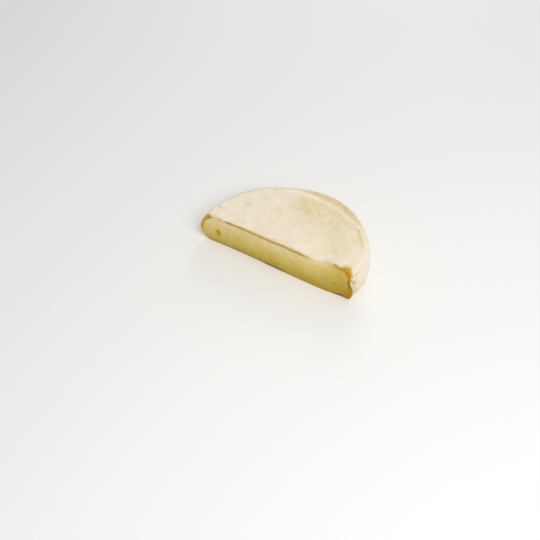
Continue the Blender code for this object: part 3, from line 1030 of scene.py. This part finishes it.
def rind_finish(look):
    """Matt cream bloom over a tan skin: grooves and stitch pits of the cloth show darker.

    A groove is a cosine across the ribs. A pit is a cosine along the groove, half a stitch farther on
    in every next groove, and it is missing where a noise is low.
    """
    finish = Finish("washed_rind")
    across, along, strength = finish.split(finish.mark("cloth", "Vector"))
    groove = finish.math("COSINE", finish.times(across, 2 * math.pi))
    groove = finish.times(finish.ramp(groove, -0.4, 1.0), strength)

    stagger = finish.times(finish.math("FLOOR", finish.plus(across, 0.5)), 0.5)
    stitch = finish.times(finish.plus(along, stagger), 2 * math.pi)
    pit = finish.times(finish.ramp(finish.math("COSINE", stitch), -0.1, 0.7), groove)
    pit = finish.times(pit, finish.ramp(finish.noise(size=2.4, detail=1.0), 0.46, 0.66))

    mottle = finish.noise(size=9.0, detail=4.0, roughness=0.6)
    fine = finish.noise(size=1.1, detail=3.0, roughness=0.6)
    colour = finish.blend(finish.ramp(mottle, 0.3, 0.7), look.bloom, look.cream)
    # The tan mark also carries painted shade low on the wall, beside the cut and in the crease trough
    tan = finish.times(finish.mark("tan"), finish.ramp(fine, 0.25, 0.7, before=0.5, after=1.3))
    tan = finish.plus(tan, finish.ramp(fine, 0.45, 0.8, after=0.25))
    colour = finish.blend(tan, colour, look.tan)
    warm = finish.plus(finish.times(finish.mark("tan"), 0.35), 0.20)
    colour = finish.blend(finish.times(groove, warm), colour, look.tan)
    seen = finish.ramp(finish.mark("tan"), 0.0, 0.5, before=0.35, after=0.9)
    colour = finish.blend(finish.times(pit, seen), colour, look.pit)
    # Painted highlight on the crease bead and painted light on the rim at the right
    colour = finish.blend(finish.mark("pale"), colour, look.bloom)
    colour = finish.blend(finish.mark("smear"), colour, look.smear)
    finish.feed("Base Color", ochre_and_brown(finish, look, colour))

    waxy = finish.math("MAXIMUM", finish.mark("smear"), finish.mark("ochre"))
    finish.feed("Roughness", finish.ramp(waxy, 0.0, 1.0, before=0.82, after=0.42))
    finish.feed("Specular IOR Level", 0.15)
    finish.feed("Sheen Weight", 0.12)
    finish.feed("Sheen Roughness", 0.5)
    powder = finish.times(finish.noise(size=0.45, detail=3.0, roughness=0.65), 0.05)
    dents = finish.times(pit, -0.08)
    finish.bump(finish.plus(powder, dents), strength=0.8)
    return finish.material


def paste_finish(look):
    """Soft yellow paste, paler below the rind and deeper at the foot, partly as painted light and shade,
    with a waxy gloss.

    Its colour follows the height: the paste's own change, with painted light towards the rind and painted
    shade towards the foot. It is made lower near the right end and higher near the left end, which is
    painted shade on the right and painted light on the left, and uneven by a cloudy noise.
    """
    finish = Finish("soft_paste")
    along, _, height = finish.split(finish.place())
    # Share of the height: the paste's own change, with painted shade towards the foot and painted light
    # towards the rind
    share = finish.math("DIVIDE", height, THICKNESS * MM)
    across = finish.math("DIVIDE", along, RADIUS * MM)
    # Painted shade: lower, darker paste towards the right end
    share = finish.times(share, finish.ramp(across, 0.50, 0.80, before=1.0, after=0.42))
    # Painted light: higher, paler paste near the left end
    share = finish.plus(share, finish.ramp(across, -0.8, -0.35, before=0.12, after=0.0))
    cloud = finish.noise(size=7.0, detail=3.0, roughness=0.55)
    share = finish.plus(share, finish.ramp(cloud, 0.2, 0.8, before=-0.10, after=0.10))
    # A little more painted shade towards the right end
    share = finish.math("SUBTRACT", share, finish.times(across, 0.05))
    colour = finish.blend(finish.ramp(share, 0.0, 0.6), look.foot, look.paste)
    colour = finish.blend(finish.ramp(share, 0.5, 1.0), colour, look.pale)
    colour = finish.blend(finish.mark("deep"), colour, look.deep)
    # The smear also carries a painted highlight below the edge
    colour = finish.blend(finish.mark("smear"), colour, look.smear)
    colour = finish.blend(finish.mark("skin"), colour, look.skin)
    finish.feed("Base Color", ochre_and_brown(finish, look, colour))

    finish.feed("Roughness", finish.ramp(cloud, 0.3, 0.7, before=0.36, after=0.5))
    finish.feed("Specular IOR Level", 0.12)
    finish.feed("Subsurface Weight", look.softness)
    finish.feed("Subsurface Radius", (1.0, 0.6, 0.2))
    finish.feed("Subsurface Scale", look.glow_depth)
    marks = finish.times(finish.noise(size=0.9, detail=3.0, roughness=0.6), 0.05)
    drag = finish.times(finish.noise(size=0.7, stretch=(22, 22, 1)), 0.03)
    finish.bump(finish.plus(marks, drag), strength=0.6)
    return finish.material


def colour_property(name, description, red, green, blue):
    """A colour that the user may change, given as it shows on a screen."""
    return FloatVectorProperty(
        name=name, description=description, subtype="COLOR", size=3, min=0, max=1,
        default=shade(red, green, blue),
    )


class CheeseForm(bpy.types.PropertyGroup):
    """Mesh density and the print of the cloth."""

    columns: IntProperty(name="Columns", description="Squares along the cut", default=400, min=40)
    rows: IntProperty(name="Rows", description="Squares from the cut to the rear", default=112, min=20)
    levels: IntProperty(name="Levels", description="Squares from top to base", default=48, min=12)
    sharp_angle: FloatProperty(
        name="Sharp Angle", description="Edges bent more than this stay sharp",
        default=math.radians(52), subtype="ANGLE",
    )
    rib_spacing: FloatProperty(
        name="Rib Spacing", description="From one rib of the cloth print to the next",
        default=2.08 * MM, unit="LENGTH", precision=4,
    )
    rib_depth: FloatProperty(
        name="Rib Depth", description="How deep the cloth pressed in",
        default=0.11 * MM, unit="LENGTH", precision=5,
    )
    rib_lean: FloatProperty(
        name="Rib Lean", description="Turn of the ribs from square to the cut",
        default=math.radians(4.8), subtype="ANGLE",
    )
    stitch_spacing: FloatProperty(
        name="Stitch Spacing", description="From one pit of the weave to the next",
        default=1.4 * MM, unit="LENGTH", precision=4,
    )


class CheeseLook(bpy.types.PropertyGroup):
    """Colours of the rind and the paste."""

    # Also the painted highlight on the crease bead and the painted light on the rim at the right
    bloom: colour_property("Bloom", "Whitish mould on the ribs", 243, 235, 220)
    cream: colour_property("Cream", "The rind between", 238, 226, 200)
    # Also painted shade low on the wall, beside the cut and in the crease trough
    tan: colour_property("Tan", "Rind with little bloom", 222, 197, 134)
    pit: colour_property("Pit", "Bottom of the weave's pits", 184, 136, 66)
    ochre: colour_property("Ochre", "The layer under the rind", 180, 138, 8)
    amber: colour_property("Amber", "Brighter ochre", 206, 152, 18)
    # Also painted shade in holes, along the foot of the cut and beside the cut
    brown: colour_property("Brown", "Dried edges and spots", 120, 84, 8)
    # Also a painted highlight on the cut below the edge
    smear: colour_property("Smear", "Paste rubbed over the edge", 224, 207, 160)
    skin: colour_property("Skin", "The rind where it is cut", 226, 205, 162)
    paste: colour_property("Paste", "Middle of the cut face", 215, 191, 105)
    # Paste below the rind: partly its own paler colour, partly painted light
    pale: colour_property("Pale Paste", "Paste below the rind", 230, 213, 156)
    # Paste near the base: partly its own deeper colour, partly painted shade
    foot: colour_property("Low Paste", "Paste near the base", 182, 155, 50)
    deep: colour_property("Deep Paste", "Inside the round holes", 204, 166, 10)
    softness: FloatProperty(
        name="Softness", description="Share of light that enters the paste",
        default=0.25, min=0, max=1, subtype="FACTOR",
    )
    glow_depth: FloatProperty(
        name="Glow Depth", description="How far light spreads in the paste",
        default=2.0 * MM, unit="LENGTH", precision=4,
    )


class CheeseStage(bpy.types.PropertyGroup):
    """Floor, lights and camera."""

    floor: colour_property("Floor", "The plain floor", 243, 242, 240)
    turn: FloatProperty(
        name="Turn", description="Camera's turn round the cheese from the cut's side",
        default=math.radians(30.73), subtype="ANGLE",
    )
    rise: FloatProperty(
        name="Rise", description="Camera's angle above the floor",
        default=math.radians(48.5), subtype="ANGLE",
    )
    distance: FloatProperty(
        name="Distance", description="From the camera to the point it looks at",
        default=0.6875, unit="LENGTH",
    )
    lens: FloatProperty(name="Lens", description="Focal length", default=57.93, unit="CAMERA")
    sky: FloatProperty(name="Sky", description="Strength of the light from all round", default=0.50)
    key: FloatProperty(
        name="Key", description="Power of the large lamp above", default=5.3, unit="POWER"
    )
    rim: FloatProperty(
        name="Rim", description="Power of the lamp behind", default=1.2, unit="POWER"
    )


# The stage, in metres
AIM = Vector((-2.32, -40.01, 0.0)) * MM  # the point on the floor that the camera looks at
FLOOR_REACH, FLOOR_GAP = 4.0, 0.02 * MM
KEY_PLACE, KEY_SIZE = (0.48, -0.34, 0.76), 0.6
RIM_PLACE, RIM_SIZE = (-0.25, 0.75, 0.45), 0.4
NEAREST_SEEN, FARTHEST_SEEN = 0.01, 50.0


class CHEESE_OT_half_cheese(bpy.types.Operator):
    """Build the half cheese in place of its plain solid"""

    bl_idname = "cheese.half_cheese"
    bl_label = "Half Cheese"

    def execute(self, context):
        mesh = cheese_mesh(context.scene.cheese_form)
        mesh.materials.append(rind_finish(context.scene.cheese_look))
        mesh.materials.append(paste_finish(context.scene.cheese_look))
        piece = bpy.data.objects.new(PIECE, mesh)
        context.scene.collection.objects.link(piece)
        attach(piece, BODY)
        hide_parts(NODE)
        return {"FINISHED"}


class CHEESE_OT_stage(bpy.types.Operator):
    """Lay the floor, hang the lamps and place the camera"""

    bl_idname = "cheese.stage"
    bl_label = "Stage"

    def execute(self, context):
        scene = context.scene
        stage = scene.cheese_stage
        self.lay_floor(scene, stage)
        self.light_scene(scene, stage)
        self.place_camera(scene, stage)
        scene.view_settings.view_transform = "Standard"
        return {"FINISHED"}

    def lay_floor(self, scene, stage):
        """One large square, a hair below the base."""
        signs = ((-1, -1), (1, -1), (1, 1), (-1, 1))
        corners = [(x * FLOOR_REACH, y * FLOOR_REACH, -FLOOR_GAP) for x, y in signs]
        mesh = bpy.data.meshes.new("floor")
        mesh.from_pydata(corners, [], [(0, 1, 2, 3)])
        finish = Finish("matt_floor")
        finish.feed("Base Color", stage.floor)
        finish.feed("Roughness", 0.9)
        mesh.materials.append(finish.material)
        floor = bpy.data.objects.new("floor", mesh)
        scene.collection.objects.link(floor)

    def light_scene(self, scene, stage):
        """Even white light from all round, and two lamps."""
        world = bpy.data.worlds.new("studio")
        world.use_nodes = True
        background = world.node_tree.nodes["Background"]
        background.inputs["Color"].default_value = (1, 1, 1, 1)
        background.inputs["Strength"].default_value = stage.sky
        scene.world = world
        self.hang_lamp(scene, "key", stage.key, KEY_PLACE, KEY_SIZE)
        self.hang_lamp(scene, "rim", stage.rim, RIM_PLACE, RIM_SIZE)

    def hang_lamp(self, scene, name, power, place, size):
        """A square lamp turned towards the middle of the stage."""
        light = bpy.data.lights.new(name, "AREA")
        light.energy = power
        light.size = size
        lamp = bpy.data.objects.new(name, light)
        lamp.location = place
        lamp.rotation_euler = (-Vector(place)).to_track_quat("-Z", "Y").to_euler()
        scene.collection.objects.link(lamp)

    def place_camera(self, scene, stage):
        """A camera at the given distance from its aim, in the direction of its turn and rise."""
        lens = bpy.data.cameras.new("camera")
        lens.lens = stage.lens
        lens.clip_start, lens.clip_end = NEAREST_SEEN, FARTHEST_SEEN
        level = math.cos(stage.rise)
        back = Vector((math.sin(stage.turn) * level, -math.cos(stage.turn) * level, math.sin(stage.rise)))
        camera = bpy.data.objects.new("camera", lens)
        camera.location = AIM + back * stage.distance
        camera.rotation_euler = (-back).to_track_quat("-Z", "Y").to_euler()
        scene.collection.objects.link(camera)
        scene.camera = camera


class CHEESE_PT_panel(bpy.types.Panel):
    """Sizes, colours and the steps that build the scene"""

    bl_label = "Cheese"
    bl_idname = "CHEESE_PT_panel"
    bl_space_type = "VIEW_3D"
    bl_region_type = "UI"
    bl_category = "Cheese"

    def draw(self, context):
        for step, group in (
            (CHEESE_OT_half_cheese, context.scene.cheese_form),
            (None, context.scene.cheese_look),
            (CHEESE_OT_stage, context.scene.cheese_stage),
        ):
            box = self.layout.box()
            for name in group.__annotations__:
                box.prop(group, name)
            if step:
                box.operator(step.bl_idname)


CLASSES = (
    CheeseForm,
    CheeseLook,
    CheeseStage,
    CHEESE_OT_half_cheese,
    CHEESE_OT_stage,
    CHEESE_PT_panel,
)


def register():
    for cls in CLASSES:
        bpy.utils.register_class(cls)
    bpy.types.Scene.cheese_form = PointerProperty(type=CheeseForm)
    bpy.types.Scene.cheese_look = PointerProperty(type=CheeseLook)
    bpy.types.Scene.cheese_stage = PointerProperty(type=CheeseStage)


def unregister():
    del bpy.types.Scene.cheese_stage
    del bpy.types.Scene.cheese_look
    del bpy.types.Scene.cheese_form
    for cls in reversed(CLASSES):
        bpy.utils.unregister_class(cls)


def main():
    register()
    bpy.ops.cheese.half_cheese()
    bpy.ops.cheese.stage()


if __name__ == "__main__":
    main()
